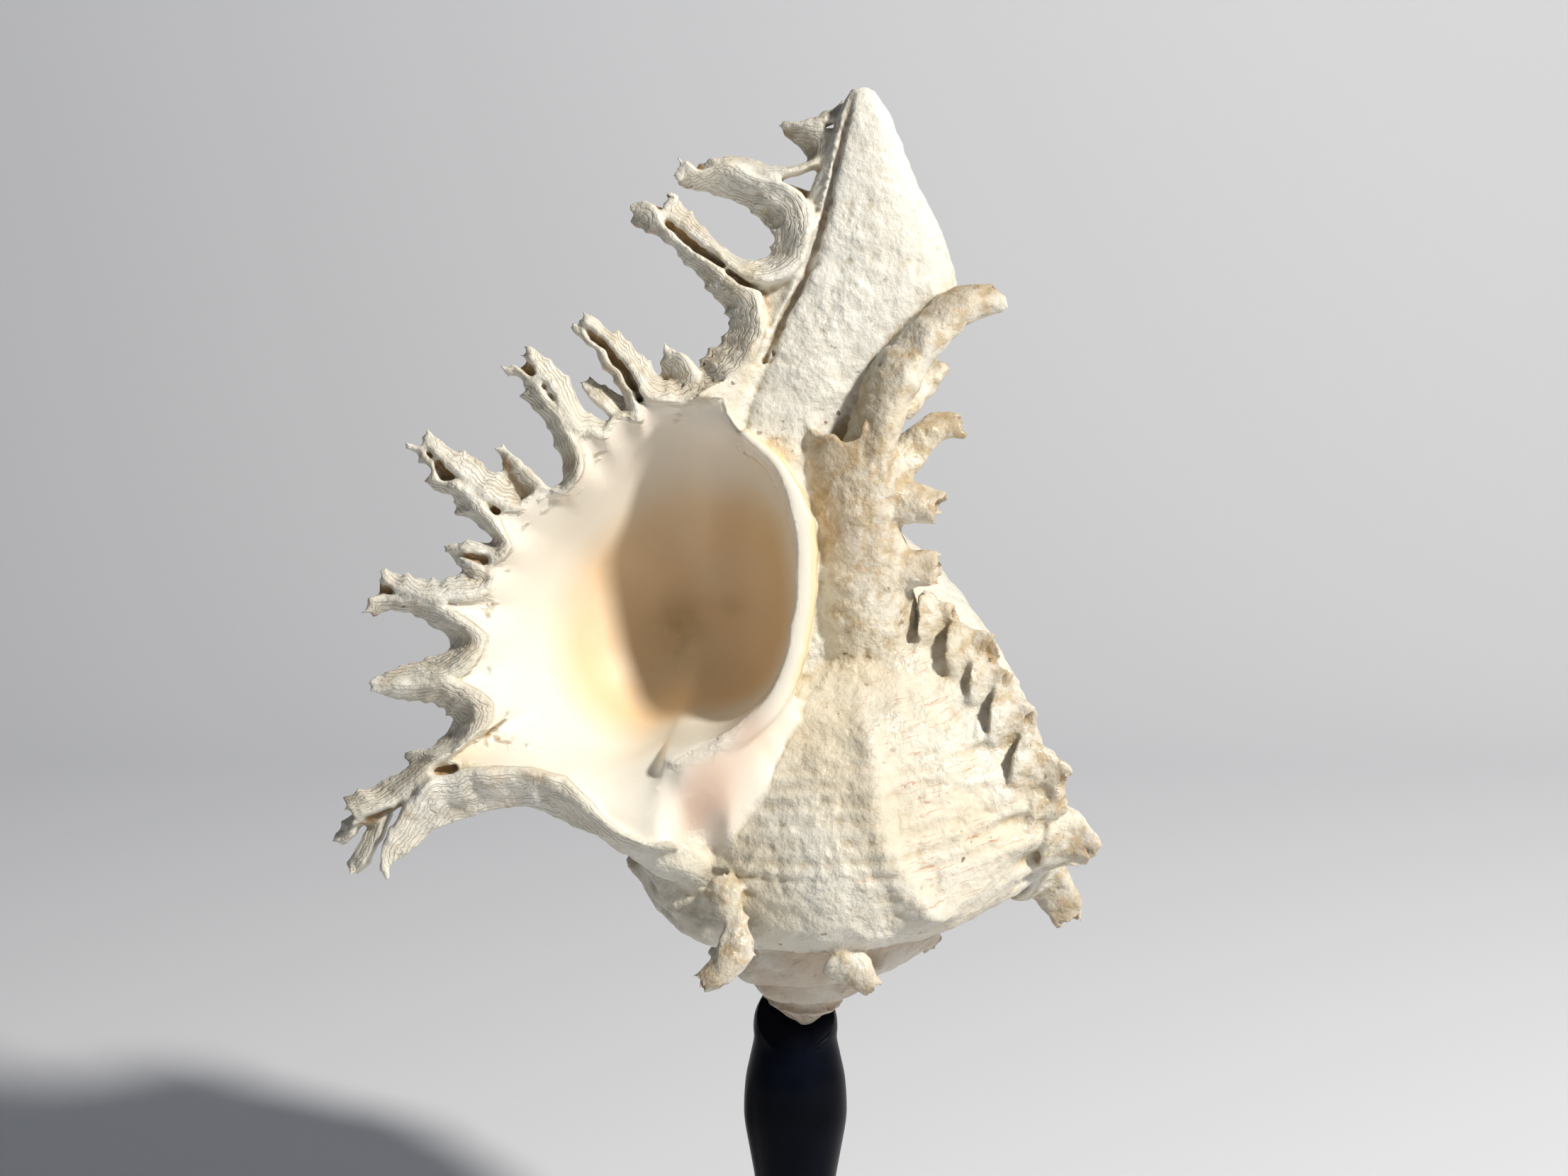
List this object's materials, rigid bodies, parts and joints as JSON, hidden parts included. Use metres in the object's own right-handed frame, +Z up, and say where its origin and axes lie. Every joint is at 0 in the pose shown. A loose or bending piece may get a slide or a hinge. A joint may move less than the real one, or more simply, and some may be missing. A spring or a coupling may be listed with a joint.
{
  "type": "murex shell",
  "caption": "Large spiny sea snail shell with an open flared mouth, frilled outer lip and long canal, standing spire down on a turned display post.",
  "frame": {"origin": "middle of the flat underside of the stand's foot", "axes": "+Z up, along the post and towards the tip of the siphonal canal; -Y is the side the mouth faces; +X to the right as the mouth is seen"},
  "size_m": [0.1497, 0.1103, 0.2837],
  "materials": {
    "shell": "chalky outside with a granular sheen, glossy porcelain in the mouth",
    "black_lacquer": "satin black lacquer"
  },
  "bodies": {
    "root": {"shell": "shell", "stand": "black_lacquer"}
  },
  "joints": []
}
